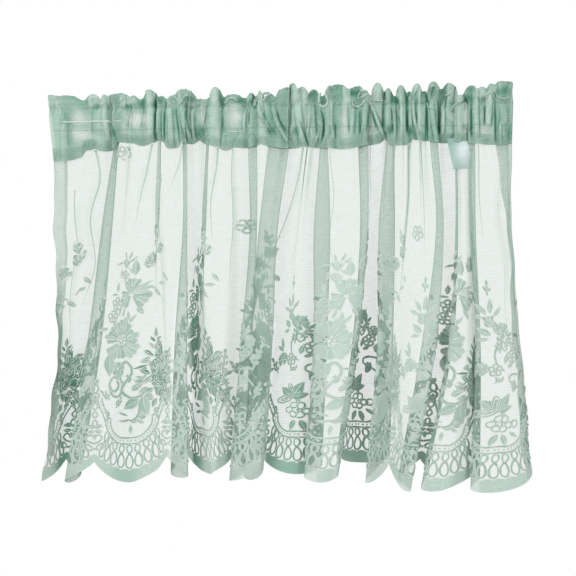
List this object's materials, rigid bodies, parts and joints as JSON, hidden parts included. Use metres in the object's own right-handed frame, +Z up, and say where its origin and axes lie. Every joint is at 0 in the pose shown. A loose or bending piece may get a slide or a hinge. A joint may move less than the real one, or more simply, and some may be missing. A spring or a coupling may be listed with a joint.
{
  "type": "lace valance",
  "caption": "Sheer lace valance gathered on a rod pocket, with a ruffled heading, soft hanging folds and a scalloped hem.",
  "frame": {"origin": "middle of the stitch line that closes the top of the rod pocket", "axes": "+X along the rod to the right as seen from the room, -Y towards the room, +Z up"},
  "size_m": [0.7388, 0.0733, 0.6059],
  "materials": {
    "lace": "sage green sheer warp-knit net with denser woven flower motifs, matt",
    "heading_lace": "the same sheer net, doubled and gathered, matt",
    "satin": "blank pale satin ribbon, soft gloss"
  },
  "bodies": {
    "root": {"lace_panel": "lace", "heading": "heading_lace", "label_tab": "satin"}
  },
  "joints": []
}
